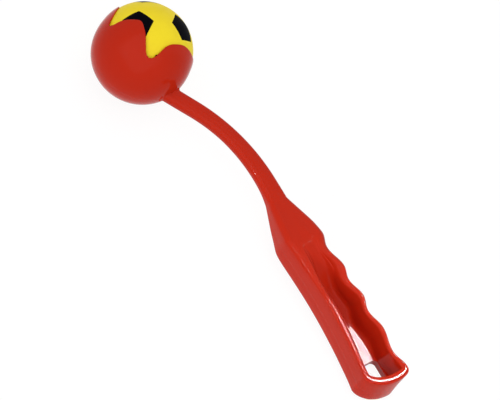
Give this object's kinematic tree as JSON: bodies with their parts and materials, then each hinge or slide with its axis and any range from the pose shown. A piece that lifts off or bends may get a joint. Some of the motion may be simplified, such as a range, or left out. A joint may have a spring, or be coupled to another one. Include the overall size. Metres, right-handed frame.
{
  "type": "dog ball thrower",
  "caption": "Hand-held ball thrower for dogs: a clawed cup grips a panelled ball at the end of a curved arm with a grooved, hollow handle.",
  "frame": {"origin": "middle of the base of the box round the whole part, lying on its closed side", "axes": "+X towards the side of the handle with the finger grooves, +Y from the handle towards the cup, +Z out of the handle's open trough"},
  "size_m": [0.0712, 0.3028, 0.0644],
  "materials": {
    "red_plastic": "gloss",
    "yellow_rubber": "satin",
    "black_rubber": "satin"
  },
  "bodies": {
    "thrower": {"thrower": "red_plastic"},
    "ball": {"ball": "yellow_rubber", "ball_panel_01": "black_rubber", "ball_panel_02": "black_rubber", "ball_panel_03": "black_rubber", "ball_panel_04": "black_rubber", "ball_panel_05": "black_rubber", "ball_panel_06": "black_rubber", "ball_panel_07": "black_rubber", "ball_panel_08": "black_rubber", "ball_panel_09": "black_rubber", "ball_panel_10": "black_rubber", "ball_panel_11": "black_rubber", "ball_panel_12": "black_rubber"}
  },
  "joints": [
    {"name": "ball_release", "type": "slide", "parent": "thrower", "child": "ball", "axis": [0.866, 0.5, 0], "range_m": [0, 0.07]}
  ]
}
